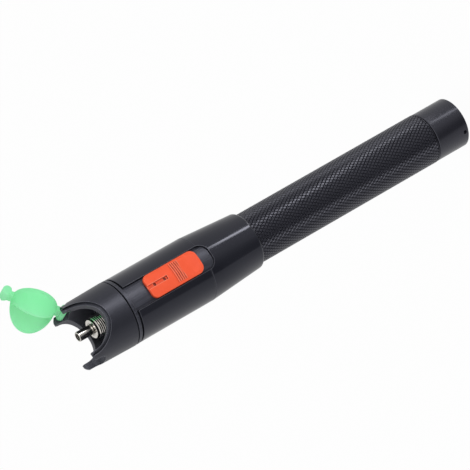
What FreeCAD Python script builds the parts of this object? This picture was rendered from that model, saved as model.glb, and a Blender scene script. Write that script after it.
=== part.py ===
import FreeCAD, Part
import math
import os

from FreeCAD import Vector

# Pen-type visual fault locator: a red-laser fibre tester the size of a marker pen.
# Frame: the pen stands on its tail.  +Z runs from the tail to the nose, the origin is the
# centre of the flat tail rim, the slide switch faces -Y and the dust cap hinges at +X.
# All sizes are millimetres.  Each size is set once here; places are chained from them.

# ---- cells and tail cap ---------------------------------------------------------------
cell_r = 7.1
cell_len = 50.5
cell_nub_r = 2.75
cell_nub = 1.5
cell_edge = 0.8
cell_play = 0.35          # air round the cells
cap_len = 14.3            # visible length of the tail cap
tail_gap = 0.35           # dark reveal between the tail cap and the battery tube
recess_depth = 3.2        # open recess in the tail end, so the rim is the foot
cap_rim = 2.05            # wall of the tail cap round the recess
cap_web = 2.4             # closed floor above the recess
cap_step = 0.12           # the tail cap is this much slimmer than the tube
spring_len = 6.8          # tail spring with the cells in
spring_r = 5.0
spring_wire = 0.45
spring_turns = 3.5
spigot_wall = 1.25        # threaded spigot that screws into the battery tube
spigot_len = 8.0
ring_t = 0.7              # section width of the tail seal
ring_play = 0.05
small_edge = 0.3          # small chamfer on turned edges
lanyard_r = 0.78
lanyard_z = 1.85
lanyard_deg = 223.5       # direction of the lanyard hole, turned about +Z from +X

# ---- battery tube ------------------------------------------------------------------------
tube_wall = 2.66
thread_play = 0.1         # radial play of screwed and slipped joints
neck_step = 0.5           # the front neck is this much slimmer than the tube
neck_len = 12.2
tube_lap = 4.2            # the tapered housing reaches this far down over the tube

# ---- front contact ---------------------------------------------------------------------------
holder_flange = 1.5
holder_boss_len = 3.2
holder_play = 0.1
stud_head_r = 3.4
stud_head = 0.8
stud_r = 1.2
stud_reach = 2.7          # length of the rivet in front of the holder

# ---- housings and inner barrel -----------------------------------------------------------------
body_r = 13.03            # outer radius of the front sleeve
past = 2.0                # how far cutting tools run past a face
sleeve_wall = 1.3
slip = 0.06               # radial play of parts pushed together
housing_front = 6.5       # tapered housing in front of the contact holder
housing_wall = 1.07       # its wall at the rear end
housing_round = 1.1       # or the rise of the taper, where that is less
sleeve_len = 33.3
reveal = 0.7              # shadow gap between the sleeve and the band
band_w = 1.3              # narrow band behind the hood
band_gap = 0.5            # shadow gap between the band and the hood
band_proud = 0.05
seam_edge = 0.18
barrel_wall = 1.3
barrel_lip = 1.0
barrel_lip_depth = 1.7
front_wall = 3.2          # front wall of the inner barrel
front_step = 0.6          # the spigot that carries the hood is this much slimmer
front_spigot = 2.8
channel_half = 5.1        # half width of the switch channel
channel_over = 3.3        # the channel runs this far past the seam, into the housing
channel_round = 3.6
pad_drop = 0.9            # the channel floor lies this far under the sleeve's skin
pad_gap = 0.35            # gap all round the floor pad
rail_t = 1.1

# ---- slide button and switch ---------------------------------------------------------------------
button_half = 4.78
button_len = 23.7
button_rear = 2.1         # from the seam to the button's rear end, in the middle position
button_round = 2.5
button_lift = 0.3         # air between the button and the channel floor
button_t = 1.6            # crown of the button over the channel floor
button_edge = 0.45
button_travel = 3.0       # each way from the middle position
groove_half = 0.75
groove_len = 8.9
groove_deep = 0.6
pip_r = 0.6               # two blind holes in the groove
pip_first = 3.1
pip_second = 7.6
pip_deep = 0.6
rib_count = 5
rib_pitch = 0.85
rib_w = 0.38
rib_h = 0.28
rib_first = 12.0          # from the front end to the first rib
dish_r = 12.5
dish_deep = 0.55
dish_from_rear = 4.7
stem_half = 1.5
stem_len = 6.0
stem_play = 0.3
board_t = 1.2
board_rear = 1.7          # from the contact holder to the board
board_len = 31.4
board_edge = 0.35         # air between the board's edges and the barrel
switch_w = 8.6
switch_d = 3.7
switch_len = 12.6
switch_air = 0.15
switch_shell = 0.25
lever_w = 1.6
lever_len = 2.4
lever_play = 0.12

# ---- laser module and connector ---------------------------------------------------------------------
laser_wall = 1.2
laser_bore_r = 2.95
laser_len = 16.6
laser_back = 4.9          # the module ends this far behind the front spigot's face
laser_front_r = 1.6
laser_front = 1.2
lens_play = 0.1
diode_inset = 1.0
diode_flange = 1.0
diode_can_r = 1.75
diode_can = 2.4
diode_pin_r = 0.23
diode_pin = 3.4
diode_pin_circle = 1.27
lens_t = 1.5
lens_bulge = 0.5
retainer_t = 1.3
retainer_wall = 1.15
lens_wire = 0.25
lens_spring_turns = 3.0
bulkhead_t = 2.0
plug_thread_r = 4.0       # threaded connector body
plug_reach = 5.1          # thread in front of the bulkhead
plug_flange_r = 6.2
plug_flange = 1.1
plug_play = 0.05
plug_seat = 0.5           # from the front spigot's face to the foot of the socket tube
ferrule_wall = 0.35       # steel socket tube
ceramic_wall = 0.35
socket_r = 1.25           # takes the 2.5 mm ferrule of a patch cord
ferrule_len = 15.3
ferrule_lip = 0.2
sleeve_inset = 0.6
collar_r = 3.75
collar_t = 1.35
collar_edge = 0.45
nut_flats = 10.0
nut_t = 2.0
nut_round = 0.4

# ---- nose hood ------------------------------------------------------------------------------------------
hood_len = 20.2
hood_proud = 0.1          # the hood's rear edge over the sleeve
hood_taper = 0.38
hood_wall = 3.35
step_t = 0.85             # the rebate round the scallops leaves this much less wall
horn_wall = 2.4           # skin beside the outer scallop
scallop_side = 1.25       # straight length of its sides
ledge_lip = 0.5           # the inner scallop is this much narrower than the cavity
ledge_side = 1.6
horn_round = 1.3          # outer corner of a prong's tip
prong_round = 0.9         # its corner beside the notch
tip_round = 0.8
notch_half = 4.95         # notch between the two prongs of a horn
notch_deep = 5.3
notch_round = 1.9
screw_head_r = 1.3
screw_head = 0.8
screw_r = 0.8
screw_len = 3.4
screw_inset = 2.1         # screw axis inside the cavity's wall
screw_deg = 52.0
screw_slot = 0.35

# ---- dust cap ----------------------------------------------------------------------------------------------
hinge_inset = 2.0         # hinge axis inside the hood's skin
hinge_drop = 2.6          # hinge axis behind the horn tips
cap_open_deg = 138.5      # the cap is stored open by this much
bar_r = 1.4
latch_out = 0.45          # the latch bar stands this much further out than the hinge bar
latch_r = 0.7
latch_bead_r = 1.7
latch_bead_len = 6.3
bar_play = 0.6            # air between the cross bars and the notch sides
pin_r = 0.8
pin_len = 0.9
pin_play = 0.08
dome_play = 0.7           # air between the closed cap and the hood's cavity
dome_rise = 3.1           # crown above the hinge plane
dome_edge = 3.4
dome_wall = 1.1
lobe_inset = 0.35         # the lobes' round edge is this much inside the cap's plan radius
neck_half = 2.6
neck_t = 1.7

# ---- radii that follow ----------------------------------------------------------------------------------------
tube_bore_r = cell_r + cell_play
tube_r = tube_bore_r + tube_wall
cap_r = tube_r - cap_step
recess_r = cap_r - cap_rim
cap_bore_r = tube_bore_r + ring_play
spigot_r = tube_bore_r + spigot_wall
socket_thread_r = spigot_r + thread_play
ring_seat_r = socket_thread_r - ring_t - 2 * ring_play
tube_neck_r = tube_r - neck_step
holder_boss_r = tube_bore_r - holder_play - 0.15
holder_flange_r = tube_neck_r - holder_play
seat_r = body_r - sleeve_wall - slip
barrel_bore_r = seat_r - barrel_wall
barrel_lip_r = barrel_bore_r - barrel_lip_depth
pad_r = body_r - pad_drop
spigot_front_r = seat_r - front_step
button_r = pad_r + button_t
laser_r = laser_bore_r + laser_wall
lens_r = laser_bore_r - lens_play
sleeve_wall_r = socket_r + ceramic_wall
ferrule_r = sleeve_wall_r + ferrule_wall
housing_r0 = tube_r + thread_play + housing_wall
band_r = body_r + band_proud
hood_r0 = body_r + hood_proud
hood_r1 = hood_r0 - hood_taper
cavity_r = hood_r1 - hood_wall
step_r = hood_r1 - step_t
scallop_r = hood_r1 - horn_wall
scallop_deep = scallop_r + scallop_side
ledge_r = cavity_r - ledge_lip
ledge_deep = ledge_r + ledge_side
screw_circle = cavity_r - screw_inset
hinge_x = hood_r1 - hinge_inset
dome_r = cavity_r - dome_play
lobe_r = dome_r - lobe_inset
latch_x = hinge_x + latch_out
bar_half = notch_half - bar_play
switch_half = switch_w / 2
switch_y = -math.sqrt((barrel_bore_r - switch_air) ** 2 - switch_half ** 2)
board_y = switch_y + switch_d
board_half = math.sqrt(barrel_bore_r ** 2 - board_y ** 2) - board_edge
rail_half = board_half - 1.3

# ---- stations that follow, from the tail to the nose ----------------------------------------------------------
tube_z0 = cap_len + tail_gap
cap_floor_z = recess_depth + cap_web
spigot_z1 = tube_z0 + spigot_len
ring_groove_z1 = tube_z0 + ring_t + 2 * ring_play
cell_z0 = cap_floor_z + spring_len
cell_top_z = cell_z0 + 2 * cell_len
holder_z0 = cell_top_z + stud_head
tube_z1 = holder_z0 + holder_boss_len
tube_shoulder_z = tube_z1 - neck_len
housing_z0 = tube_shoulder_z - tube_lap
holder_z1 = tube_z1 + holder_flange
seam_z = holder_z1 + housing_front
sleeve_z1 = seam_z + sleeve_len
band_z0 = sleeve_z1 + reveal
band_z1 = band_z0 + band_w
hood_z0 = band_z1 + band_gap
length = hood_z0 + hood_len
spigot_front_z = band_z1 + front_spigot
barrel_wall_z = spigot_front_z - front_wall
channel_z0 = seam_z - channel_over
button_z0 = seam_z + button_rear
button_z1 = button_z0 + button_len
button_mid_z = (button_z0 + button_z1) / 2
board_z0 = holder_z1 + board_rear
board_z1 = board_z0 + board_len
laser_z1 = spigot_front_z - laser_back
laser_z0 = laser_z1 - laser_len
lens_z0 = laser_z1 - laser_front - retainer_t - lens_t
bulkhead_z0 = spigot_front_z
bulkhead_z1 = bulkhead_z0 + bulkhead_t
plug_z1 = bulkhead_z1 + plug_reach
flange_z = spigot_front_z - plug_flange
ferrule_z0 = spigot_front_z + plug_seat
ferrule_z1 = ferrule_z0 + ferrule_len
hinge_z = length - hinge_drop
stem_tip_y = switch_y - 0.35
lever_tip_y = -pad_r - button_lift + 0.4
slot_half_len = stem_len / 2 + button_travel + stem_play


# ---- small helpers --------------------------------------------------------------------------------------

def revolve(points):
    """Solid of revolution about the pen axis from a closed outline of (radius, z) points."""
    wire = Part.makePolygon([Vector(r, 0, z) for r, z in points + points[:1]])
    return Part.Face(wire).revolve(Vector(0, 0, 0), Vector(0, 0, 1), 360)


def disc(radius, z0, z1, x=0.0, y=0.0):
    """Round bar parallel to the pen axis."""
    return Part.makeCylinder(radius, z1 - z0, Vector(x, y, z0))


def tube(outer, inner, z0, z1):
    """Plain tube about the pen axis."""
    return disc(outer, z0, z1).cut(disc(inner, z0, z1))


def block(x0, x1, y0, y1, z0, z1):
    """Box between two corners."""
    return Part.makeBox(x1 - x0, y1 - y0, z1 - z0, Vector(x0, y0, z0))


def channel_prism(half, z0, z1, corner, y0, y1):
    """Strip of the given half width along Z, its lower end rounded, pushed out along Y."""
    a = Vector(half, y0, z1)
    b = Vector(half, y0, z0 + corner)
    c = Vector(half - corner, y0, z0)
    d = Vector(-half + corner, y0, z0)
    e = Vector(-half, y0, z0 + corner)
    f = Vector(-half, y0, z1)
    k = corner * (1 - math.sqrt(0.5))
    edges = [
        Part.LineSegment(a, b).toShape(),
        Part.Arc(b, Vector(half - k, y0, z0 + k), c).toShape(),
        Part.LineSegment(c, d).toShape(),
        Part.Arc(d, Vector(-half + k, y0, z0 + k), e).toShape(),
        Part.LineSegment(e, f).toShape(),
        Part.LineSegment(f, a).toShape(),
    ]
    return Part.Face(Part.Wire(edges)).extrude(Vector(0, y1 - y0, 0))


def u_prism(radius, z_bottom, z_top, reach):
    """U-shaped strip, round at the bottom, pushed through the pen along Y."""
    zc = z_bottom + radius
    a = Vector(radius, -reach, z_top)
    b = Vector(radius, -reach, zc)
    c = Vector(0, -reach, z_bottom)
    d = Vector(-radius, -reach, zc)
    e = Vector(-radius, -reach, z_top)
    edges = [
        Part.LineSegment(a, b).toShape(),
        Part.Arc(b, c, d).toShape(),
        Part.LineSegment(d, e).toShape(),
        Part.LineSegment(e, a).toShape(),
    ]
    return Part.Face(Part.Wire(edges)).extrude(Vector(0, 2 * reach, 0))


def coil(radius, wire, z0, z1, turns, sides):
    """Open coil spring between two heights, measured over the wire; the wire has flat sides."""
    rise = z1 - z0 - 2 * wire
    helix = Part.makeHelix(rise / turns, rise, radius)
    ring = []
    for k in range(sides + 1):
        a = 2 * math.pi * (k + 0.5) / sides
        ring.append(Vector(radius + wire * math.cos(a), 0, wire * math.sin(a)))
    spring = Part.Wire(helix).makePipeShell([Part.makePolygon(ring)], True, True)
    return spring.translated(Vector(0, 0, z0 + wire))


def mirrored(shape):
    """The shape on the other side of the Y-Z plane."""
    return shape.mirror(Vector(0, 0, 0), Vector(1, 0, 0))


def edges_at(shape, test):
    """Edges whose middle point passes the test."""
    found = []
    for edge in shape.Edges:
        middle = edge.valueAt((edge.FirstParameter + edge.LastParameter) / 2)
        if test(middle):
            found.append(edge)
    return found


# ---- tail cap group -----------------------------------------------------------------------------------

def tail_cap():
    """Turned cup: foot rim, web, bore for the cell, threaded spigot with a seal groove."""
    body = revolve([
        (recess_r, 0), (cap_r - small_edge, 0), (cap_r, small_edge), (cap_r, cap_len - small_edge),
        (cap_r - small_edge, cap_len), (ring_seat_r, cap_len), (ring_seat_r, ring_groove_z1),
        (spigot_r, ring_groove_z1), (spigot_r, spigot_z1), (cap_bore_r, spigot_z1),
        (cap_bore_r, cap_floor_z), (0, cap_floor_z), (0, recess_depth), (recess_r, recess_depth),
    ])
    turn = math.radians(lanyard_deg)
    out = Vector(math.cos(turn), math.sin(turn), 0)
    start = out * (recess_r - past / 2) + Vector(0, 0, lanyard_z)
    return body.cut(Part.makeCylinder(lanyard_r, cap_rim + past, start, out))


def tail_o_ring():
    """Rubber seal in the groove at the root of the spigot, its section flattened by the fit."""
    r0 = ring_seat_r + ring_play
    r1 = r0 + ring_t
    z0 = tube_z0 + ring_play
    z1 = z0 + ring_t
    k = ring_t * 0.3
    return revolve([
        (r0 + k, z0), (r1 - k, z0), (r1, z0 + k), (r1, z1 - k),
        (r1 - k, z1), (r0 + k, z1), (r0, z1 - k), (r0, z0 + k),
    ])


def tail_spring():
    """Coil that presses the cells forward; soldered to the web of the tail cap."""
    return coil(spring_r, spring_wire, cap_floor_z, cell_z0, spring_turns, 6)


# ---- battery tube and cells ---------------------------------------------------------------------------

def battery_tube():
    """Knurled grip tube with a threaded socket at the tail and a threaded neck at the front."""
    socket_z1 = spigot_z1 + past / 4
    return revolve([
        (socket_thread_r, tube_z0), (tube_r - small_edge, tube_z0), (tube_r, tube_z0 + small_edge),
        (tube_r, tube_shoulder_z), (tube_neck_r, tube_shoulder_z), (tube_neck_r, tube_z1),
        (tube_bore_r, tube_z1), (tube_bore_r, socket_z1), (socket_thread_r, socket_z1),
    ])


def cell(z0):
    """AA cell: flat negative end at z0, positive nub at the top."""
    z1 = z0 + cell_len
    return revolve([
        (0, z0), (cell_r - cell_edge, z0), (cell_r, z0 + cell_edge),
        (cell_r, z1 - cell_nub - cell_edge), (cell_r - cell_edge, z1 - cell_nub),
        (cell_nub_r, z1 - cell_nub), (cell_nub_r, z1), (0, z1),
    ])


def contact_holder():
    """Moulded insulator clamped between the tube neck and the inner barrel."""
    return revolve([
        (stud_r, holder_z0), (holder_boss_r, holder_z0), (holder_boss_r, tube_z1),
        (holder_flange_r, tube_z1), (holder_flange_r, holder_z1), (stud_r, holder_z1),
    ])


def front_contact():
    """Brass rivet: its head meets the front cell, its shank passes to the board."""
    return revolve([
        (0, cell_top_z), (stud_head_r, cell_top_z), (stud_head_r, holder_z0),
        (stud_r, holder_z0), (stud_r, holder_z1 + stud_reach), (0, holder_z1 + stud_reach),
    ])


# ---- housings ---------------------------------------------------------------------------------------------

def rear_housing():
    """Tapered housing: screwed on the battery tube, holds the inner barrel, ends the channel."""
    seat = seat_r + slip
    sleeve = tube_r + thread_play
    neck = tube_neck_r + slip
    body = revolve([
        (sleeve, housing_z0), (housing_r0, housing_z0), (body_r, seam_z - seam_edge),
        (body_r - seam_edge, seam_z), (seat, seam_z), (seat, holder_z1), (neck, holder_z1),
        (neck, tube_shoulder_z), (sleeve, tube_shoulder_z),
    ])
    rim = edges_at(body, lambda m: abs(m.z - housing_z0) < 0.01 and math.hypot(m.x, m.y) > sleeve + 0.1)
    body = body.makeFillet(min(housing_round, body_r - housing_r0), rim)
    notch = channel_prism(channel_half, channel_z0, seam_z + past, channel_round, -body_r - past, 0)
    return body.cut(notch)


def front_sleeve():
    """Outer sleeve with the switch channel cut through its whole length."""
    seat = seat_r + slip
    body = revolve([
        (seat, seam_z), (body_r - seam_edge, seam_z), (body_r, seam_z + seam_edge),
        (body_r, sleeve_z1 - seam_edge), (body_r - seam_edge, sleeve_z1), (seat, sleeve_z1),
    ])
    return body.cut(block(-channel_half, channel_half, -body_r - past, 0, seam_z - past, sleeve_z1 + past))


def screw_place(turn):
    """Axis point of one of the two hood screws."""
    a = math.radians(screw_deg + turn)
    return screw_circle * math.cos(a), screw_circle * math.sin(a)


def screw_bar(radius, z0, z1, turn):
    """Round bar at one of the two hood screw places."""
    x, y = screw_place(turn)
    return disc(radius, z0, z1, x, y)


def inner_barrel():
    """Chassis: carries sleeve, board and laser; its raised pad is the floor of the channel."""
    lip_z1 = holder_z1 + barrel_lip
    hole_r = laser_r + slip
    body = revolve([
        (barrel_lip_r, holder_z1), (seat_r, holder_z1), (seat_r, band_z0), (band_r - seam_edge, band_z0),
        (band_r, band_z0 + seam_edge), (band_r, band_z1 - seam_edge), (band_r - seam_edge, band_z1),
        (spigot_front_r, band_z1), (spigot_front_r, spigot_front_z), (hole_r, spigot_front_z),
        (hole_r, barrel_wall_z), (barrel_bore_r, barrel_wall_z),
        (barrel_bore_r, lip_z1), (barrel_lip_r, lip_z1),
    ])
    half = channel_half - pad_gap
    root_r = seat_r - barrel_wall / 2
    pad = channel_prism(half, channel_z0 + pad_gap, band_z0, channel_round - pad_gap, -body_r, 0)
    body = body.fuse(pad.common(tube(pad_r, root_r, channel_z0, band_z0)))
    rail_y = board_y + board_t
    rail = block(rail_half, seat_r, rail_y, rail_y + rail_t, board_z0, board_z1)
    rail = rail.common(disc(barrel_bore_r + barrel_wall / 2, board_z0, board_z1))
    body = body.fuse([rail, mirrored(rail)])
    wide = stem_half + stem_play
    low = button_mid_z - slot_half_len
    high = button_mid_z + slot_half_len
    body = body.cut(block(-wide, wide, -body_r - past, -barrel_bore_r + past, low, high))
    body = body.cut(disc(plug_flange_r + slip, flange_z, spigot_front_z))
    for turn in (0, 180):
        body = body.cut(screw_bar(screw_r, spigot_front_z - screw_len, spigot_front_z, turn))
    return body.removeSplitter()


# ---- switch group -----------------------------------------------------------------------------------------

def slide_button():
    """Thumb slide: curved top, front groove with two blind holes, ribs and a dished rear half."""
    under_r = pad_r + button_lift
    plan = block(-button_half, button_half, -button_r - past, -pad_r + past, button_z0, button_z1)
    upright = edges_at(plan, lambda m: abs(abs(m.x) - button_half) < 0.01 and
                       (abs(m.z - button_z0) < 0.01 or abs(m.z - button_z1) < 0.01))
    body = plan.makeFillet(button_round, upright).common(tube(button_r, under_r, button_z0, button_z1))
    rim = edges_at(body, lambda m: m.y < 0 and abs(math.hypot(m.x, m.y) - button_r) < 0.02)
    body = body.makeFillet(button_edge, rim)
    groove_z0 = button_z1 - groove_len
    groove_r = button_r - groove_deep
    groove = block(-groove_half, groove_half, -button_r - past, -pad_r + past, groove_z0, button_z1 + past)
    body = body.cut(groove.cut(disc(groove_r, groove_z0, button_z1 + past)))
    for place in (pip_first, pip_second):
        pip = Part.makeCylinder(pip_r, button_r, Vector(0, 0, button_z1 - place), Vector(0, -1, 0))
        body = body.cut(pip.cut(disc(groove_r - pip_deep, button_z0, button_z1)))
    rib_r = button_r + rib_h
    half = button_half - 2 * button_edge
    for k in range(rib_count):
        z = button_z1 - rib_first - k * rib_pitch
        ring = tube(rib_r, button_r - rib_h, z - rib_w / 2, z + rib_w / 2)
        body = body.fuse(ring.common(block(-half, half, -rib_r - past, 0, z - rib_w, z + rib_w)))
    dish_axis = Vector(-button_half, -button_r + dish_deep - dish_r, button_z0 + dish_from_rear)
    body = body.cut(Part.makeCylinder(dish_r, 2 * button_half, dish_axis, Vector(1, 0, 0)))
    low = button_mid_z - stem_len / 2
    high = button_mid_z + stem_len / 2
    body = body.fuse(block(-stem_half, stem_half, -under_r - rib_h, stem_tip_y, low, high))
    half = lever_w / 2 + lever_play
    reach = lever_len / 2 + lever_play
    pocket = block(-half, half, lever_tip_y - lever_play, stem_tip_y + past, button_mid_z - reach,
                   button_mid_z + reach)
    return body.cut(pocket).removeSplitter()


def switch_lever():
    """Plastic lever of the slide switch, caught in the pocket of the button."""
    half = lever_w / 2
    foot_y = switch_y + switch_shell
    return block(-half, half, lever_tip_y, foot_y, button_mid_z - lever_len / 2, button_mid_z + lever_len / 2)


def switch_body():
    """Steel-cased slide switch on the board, with a window for its lever."""
    case_z0 = button_mid_z - switch_len / 2
    case = block(-switch_half, switch_half, switch_y, board_y, case_z0, case_z0 + switch_len)
    half = lever_w / 2 + stem_play
    reach = lever_len / 2 + button_travel + stem_play
    window_y = switch_y + switch_shell + stem_play
    return case.cut(block(-half, half, switch_y - past, window_y, button_mid_z - reach, button_mid_z + reach))


def circuit_board():
    """Driver board on the rails of the inner barrel."""
    return block(-board_half, board_half, board_y, board_y + board_t, board_z0, board_z1)


# ---- laser module ---------------------------------------------------------------------------------------------

def laser_housing():
    """Brass barrel of the laser module, open at the rear, with a small front aperture."""
    front = laser_z1 - laser_front
    return revolve([
        (laser_bore_r, laser_z0), (laser_r, laser_z0), (laser_r, laser_z1), (laser_front_r, laser_z1),
        (laser_front_r, front), (laser_bore_r, front),
    ])


def laser_diode():
    """TO can diode pressed in the rear of the module, with three leads."""
    z0 = laser_z0 + diode_inset
    z1 = z0 + diode_flange
    body = revolve([
        (0, z0), (lens_r, z0), (lens_r, z1), (diode_can_r, z1),
        (diode_can_r, z1 + diode_can), (0, z1 + diode_can),
    ])
    for k in range(3):
        a = math.radians(90 + 90 * k)
        x = diode_pin_circle * math.cos(a)
        y = diode_pin_circle * math.sin(a)
        body = body.fuse(disc(diode_pin_r, z0 - diode_pin, z0, x, y))
    return body.removeSplitter()


def focus_lens():
    """Glass collimating lens, flat behind and bulged in front."""
    rim = disc(lens_r, lens_z0, lens_z0 + lens_t)
    ball_r = (lens_r ** 2 + lens_bulge ** 2) / (2 * lens_bulge)
    return rim.common(Part.makeSphere(ball_r, Vector(0, 0, lens_z0 + lens_t - ball_r)))


def lens_spring():
    """Fine coil that presses the lens against its retainer."""
    z0 = laser_z0 + diode_inset + diode_flange
    return coil(lens_r - lens_wire - lens_play, lens_wire, z0, lens_z0, lens_spring_turns, 4)


def lens_retainer():
    """Threaded ring in front of the lens."""
    z0 = lens_z0 + lens_t
    return tube(lens_r, lens_r - retainer_wall, z0, z0 + retainer_t)


# ---- connector ---------------------------------------------------------------------------------------------------

def connector_body():
    """Threaded connector body through the bulkhead, with a flange behind it."""
    return revolve([
        (laser_front_r, laser_z1), (plug_thread_r, laser_z1), (plug_thread_r, flange_z),
        (plug_flange_r, flange_z), (plug_flange_r, spigot_front_z), (plug_thread_r, spigot_front_z),
        (plug_thread_r, plug_z1), (ferrule_r, plug_z1), (ferrule_r, ferrule_z0), (laser_front_r, ferrule_z0),
    ])


def ferrule_tube():
    """Steel socket tube that stands out of the connector body, its mouth drawn in a little."""
    lip_z = ferrule_z1 - sleeve_inset
    mouth_r = sleeve_wall_r - ferrule_lip / 2
    return revolve([
        (sleeve_wall_r, ferrule_z0), (ferrule_r, ferrule_z0), (ferrule_r, ferrule_z1 - ferrule_lip),
        (ferrule_r - ferrule_lip, ferrule_z1), (mouth_r, ferrule_z1), (mouth_r, lip_z), (sleeve_wall_r, lip_z),
    ])


def ceramic_sleeve():
    """Zirconia alignment sleeve inside the socket tube."""
    return tube(sleeve_wall_r, socket_r, ferrule_z0, ferrule_z1 - sleeve_inset)


def connector_collar():
    """Bright ring that caps the thread round the socket tube."""
    z1 = plug_z1 + collar_t
    return revolve([
        (ferrule_r, plug_z1), (collar_r, plug_z1), (collar_r, z1 - collar_edge),
        (collar_r - collar_edge, z1), (ferrule_r, z1),
    ])


def lock_nut():
    """Hexagon nut that clamps the connector to the bulkhead, its corners turned off."""
    corner = nut_flats / 2 / math.cos(math.pi / 6)
    nut_z1 = bulkhead_z1 + nut_t
    points = []
    for k in range(6):
        a = k * math.pi / 3
        points.append(Vector(corner * math.cos(a), corner * math.sin(a), bulkhead_z1))
    nut = Part.Face(Part.makePolygon(points + points[:1])).extrude(Vector(0, 0, nut_t))
    turned = revolve([
        (plug_thread_r, bulkhead_z1), (corner, bulkhead_z1), (corner, nut_z1 - nut_round),
        (nut_flats / 2 - nut_round / 2, nut_z1), (plug_thread_r, nut_z1),
    ])
    return nut.common(turned)


def hood_screw(turn):
    """Small pan-head screw with a straight slot."""
    x, y = screw_place(turn)
    head_z1 = bulkhead_z1 + screw_head
    head = disc(screw_head_r, bulkhead_z1, head_z1, x, y)
    half = screw_slot / 2
    reach = 2 * screw_head_r
    slot = block(x - reach, x + reach, y - half, y + half, head_z1 - screw_head / 2, head_z1 + past)
    shank = disc(screw_r, spigot_front_z - screw_len, bulkhead_z1, x, y)
    return head.cut(slot).fuse(shank).removeSplitter()


def hood_screws():
    """The two screws that hold the hood to the inner barrel."""
    return Part.makeCompound([hood_screw(0), hood_screw(180)])


# ---- nose hood -------------------------------------------------------------------------------------------------------

def cross_bar(radius, half, x):
    """Round bar along Y at the height of the hinge."""
    return Part.makeCylinder(radius, 2 * half, Vector(x, -half, hinge_z), Vector(0, 1, 0))


def horn_notch():
    """Square notch with rounded lower corners through the hinge horn."""
    z0 = length - notch_deep
    notch = block(ledge_r / 2, hood_r0 + past, -notch_half, notch_half, z0, length + past)
    low = edges_at(notch, lambda m: abs(m.z - z0) < 0.01 and abs(abs(m.y) - notch_half) < 0.01)
    return notch.makeFillet(notch_round, low)


def tip_corner(y_axis, y_edge, radius):
    """What a round corner takes off the tips of both horns between two places along Y."""
    z = length - radius
    reach = hood_r0 + past
    y0, y1 = sorted((y_axis, y_edge))
    rod = Part.makeCylinder(radius, 2 * reach, Vector(-reach, y_axis, z), Vector(1, 0, 0))
    return block(-reach, reach, y0, y1, z, length + past).cut(rod)


def nose_hood():
    """Moulded hood: two scallops leave two horns, each notched into a pair of prongs."""
    reach = hood_r0 + past
    top = length + past
    skirt = spigot_front_r + slip
    hole_r = plug_thread_r + plug_play
    body = revolve([
        (skirt, hood_z0), (hood_r0 - seam_edge, hood_z0), (hood_r0, hood_z0 + seam_edge),
        (hood_r1, length - tip_round), (hood_r1 - tip_round, length), (cavity_r + tip_round / 2, length),
        (cavity_r, length - tip_round / 2), (cavity_r, bulkhead_z1), (hole_r, bulkhead_z1),
        (hole_r, bulkhead_z0), (skirt, bulkhead_z0),
    ])
    outer = u_prism(scallop_r, length - scallop_deep, top, reach)
    body = body.cut(outer.cut(disc(step_r, bulkhead_z0, top + past)))
    body = body.cut(u_prism(ledge_r, length - ledge_deep, top, reach))
    notch = horn_notch()
    body = body.cut([notch, mirrored(notch)])
    horn_half = math.sqrt(hood_r1 ** 2 - scallop_r ** 2)
    for side in (-1, 1):
        outside = tip_corner(side * (horn_half - horn_round), side * reach, horn_round)
        inside = tip_corner(side * (notch_half + prong_round), side * notch_half / 2, prong_round)
        body = body.cut([outside, inside])
    for turn in (0, 180):
        body = body.cut(screw_bar(screw_r, bulkhead_z0, bulkhead_z1, turn))
    pin_half = bar_half + pin_len + pin_play
    return body.cut(cross_bar(pin_r + pin_play, pin_half, hinge_x)).removeSplitter()


# ---- dust cap ------------------------------------------------------------------------------------------------------------

def cap_cup(radius, rise, edge):
    """Round-edged cup about the pen axis, crown up, closed at the crown."""
    top = hinge_z + rise
    cup = disc(radius, hinge_z - dome_r, top)
    return cup.makeFillet(edge, edges_at(cup, lambda m: abs(m.z - top) < 0.01))


def dust_cap():
    """Soft moulded cap: domed cup, two round lobes, a hinge bar and a latch bar; stored open."""
    lobes = Part.makeCylinder(lobe_r, 2 * dome_r, Vector(0, -dome_r, hinge_z), Vector(0, 1, 0))
    crown = disc(dome_r, hinge_z, hinge_z + dome_rise)
    outer = cap_cup(dome_r, dome_rise, dome_edge)
    inner = cap_cup(dome_r - dome_wall, dome_rise - dome_wall, dome_edge - dome_wall / 2)
    inner = inner.fuse(disc(dome_r - dome_wall, hinge_z - dome_r - past, hinge_z - dome_edge))
    cup = outer.cut(inner).common(lobes.fuse(crown))
    for end in (-latch_x, hinge_x):
        x0, x1 = sorted((end, math.copysign(dome_r - dome_wall, end)))
        cup = cup.fuse(block(x0, x1, -neck_half, neck_half, hinge_z - neck_t / 2, hinge_z + neck_t / 2))
    cup = cup.fuse([cross_bar(bar_r, bar_half, hinge_x), cross_bar(pin_r, bar_half + pin_len, hinge_x)])
    bead = Part.makeCylinder(latch_bead_r, latch_bead_len, Vector(-latch_x, -bar_half, hinge_z), Vector(0, 1, 0))
    cup = cup.fuse([cross_bar(latch_r, bar_half, -latch_x), bead])
    return cup.removeSplitter().rotated(Vector(hinge_x, 0, hinge_z), Vector(0, 1, 0), cap_open_deg)


# ---- build and write -----------------------------------------------------------------------------------------------------

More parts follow.
